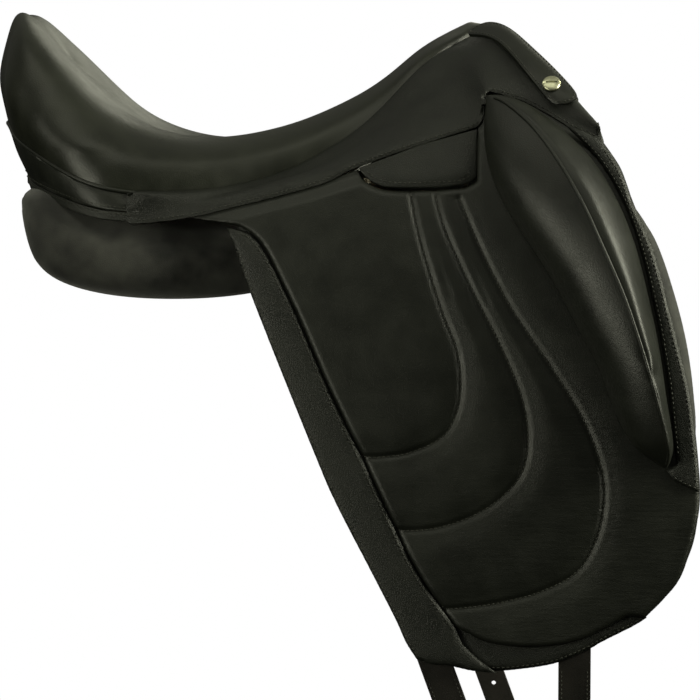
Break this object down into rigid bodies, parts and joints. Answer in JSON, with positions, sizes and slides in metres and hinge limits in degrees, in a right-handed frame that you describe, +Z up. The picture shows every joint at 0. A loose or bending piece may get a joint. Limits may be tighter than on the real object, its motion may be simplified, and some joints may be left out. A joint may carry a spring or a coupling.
{
  "type": "english saddle",
  "caption": "Single-flap dressage saddle with a deep seat, long knee blocks, wool panels, stirrup bars under small covers, and hanging girth straps.",
  "frame": {"origin": "on the middle plane, in the tree under the seat's lowest point, where the rack or the horse's back carries the weight", "axes": "+X towards the pommel, +Y to the rider's left, +Z up"},
  "size_m": [0.5801, 0.4462, 0.7304],
  "materials": {
    "smooth_leather": "smooth black calf, soft sheen",
    "grained_leather": "pebble-grained black leather",
    "panel_leather": "matt soft black leather, suede-like",
    "strap_leather": "waxed black bridle leather",
    "steel": "dull steel",
    "nickel": "nickel-plated, lightly worn",
    "wood": "laminated birch",
    "webbing": "woven linen web",
    "foam": "latex foam"
  },
  "bodies": {
    "saddle": {"seat_cover": "smooth_leather", "seat_foam": "foam", "seat_webbing": "webbing", "tree": "wood", "seat_welt": "smooth_leather", "cantle_facing": "smooth_leather", "panel_facing": "smooth_leather", "pommel_facing": "grained_leather", "gullet_lining": "panel_leather", "head_plate": "steel", "skirt_right": "grained_leather", "skirt_left": "grained_leather", "pommel_tab_right": "smooth_leather", "pommel_tab_left": "smooth_leather", "tab_screw_right": "nickel", "tab_screw_left": "nickel", "stirrup_bar_right": "steel", "stirrup_bar_left": "steel", "bar_rivet_front_right": "steel", "bar_rivet_front_left": "steel", "bar_rivet_rear_right": "steel", "bar_rivet_rear_left": "steel", "catch_pin_right": "steel", "catch_pin_left": "steel", "panel_right": "panel_leather", "panel_left": "panel_leather", "panel_front_right": "panel_leather", "panel_front_left": "panel_leather", "girth_web_right": "webbing", "girth_web_left": "webbing"},
    "right_flap": {"flap_right": "smooth_leather", "flap_base_right": "grained_leather", "flap_lining_right": "panel_leather", "rear_strip_right": "grained_leather", "billet_guard_right": "grained_leather", "front_trim_right": "grained_leather", "knee_block_right": "smooth_leather", "block_piping_right": "smooth_leather", "front_billet_right": "strap_leather", "rear_billet_right": "strap_leather"},
    "right_bar_cover": {"bar_cover_right": "smooth_leather"},
    "right_catch": {"bar_catch_right": "steel"},
    "right_front_billet": {"front_billet_tail_right": "strap_leather"},
    "right_rear_billet": {"rear_billet_tail_right": "strap_leather"},
    "left_flap": {"flap_left": "smooth_leather", "flap_base_left": "grained_leather", "flap_lining_left": "panel_leather", "rear_strip_left": "grained_leather", "billet_guard_left": "grained_leather", "front_trim_left": "grained_leather", "knee_block_left": "smooth_leather", "block_piping_left": "smooth_leather", "front_billet_left": "strap_leather", "rear_billet_left": "strap_leather"},
    "left_bar_cover": {"bar_cover_left": "smooth_leather"},
    "left_catch": {"bar_catch_left": "steel"},
    "left_front_billet": {"front_billet_tail_left": "strap_leather"},
    "left_rear_billet": {"rear_billet_tail_left": "strap_leather"}
  },
  "joints": [
    {"name": "right_flap_swing", "type": "hinge", "parent": "saddle", "child": "right_flap", "pos_m": [0.024, -0.15244, -0.001], "axis": [-0.9073, -0.1584, -0.3895], "range_deg": [0, 28]},
    {"name": "right_bar_cover_lift", "type": "hinge", "parent": "saddle", "child": "right_bar_cover", "pos_m": [0.1265, -0.14287, 0.028], "axis": [-0.9436, -0.123, -0.3075], "range_deg": [0, 50]},
    {"name": "right_catch_lift", "type": "hinge", "parent": "saddle", "child": "right_catch", "pos_m": [0.161, -0.13483, 0.03253], "axis": [0, 0.9389, -0.3441], "range_deg": [0, 30]},
    {"name": "right_front_billet_swing", "type": "hinge", "parent": "right_flap", "child": "right_front_billet", "pos_m": [0.296, -0.18447, -0.355], "axis": [-1, 0, 0], "range_deg": [-20, 45]},
    {"name": "right_rear_billet_swing", "type": "hinge", "parent": "right_flap", "child": "right_rear_billet", "pos_m": [0.19, -0.1846, -0.36], "axis": [-0.9389, 0, -0.3443], "range_deg": [-20, 45]},
    {"name": "left_flap_swing", "type": "hinge", "parent": "saddle", "child": "left_flap", "pos_m": [0.024, 0.15244, -0.001], "axis": [0.9073, -0.1584, 0.3895], "range_deg": [0, 28]},
    {"name": "left_bar_cover_lift", "type": "hinge", "parent": "saddle", "child": "left_bar_cover", "pos_m": [0.1265, 0.14287, 0.028], "axis": [0.9436, -0.123, 0.3075], "range_deg": [0, 50]},
    {"name": "left_catch_lift", "type": "hinge", "parent": "saddle", "child": "left_catch", "pos_m": [0.161, 0.13483, 0.03253], "axis": [0, 0.9389, 0.3441], "range_deg": [0, 30]},
    {"name": "left_front_billet_swing", "type": "hinge", "parent": "left_flap", "child": "left_front_billet", "pos_m": [0.296, 0.18447, -0.355], "axis": [1, 0, 0], "range_deg": [-20, 45]},
    {"name": "left_rear_billet_swing", "type": "hinge", "parent": "left_flap", "child": "left_rear_billet", "pos_m": [0.19, 0.1846, -0.36], "axis": [0.9389, 0, 0.3443], "range_deg": [-20, 45]}
  ]
}
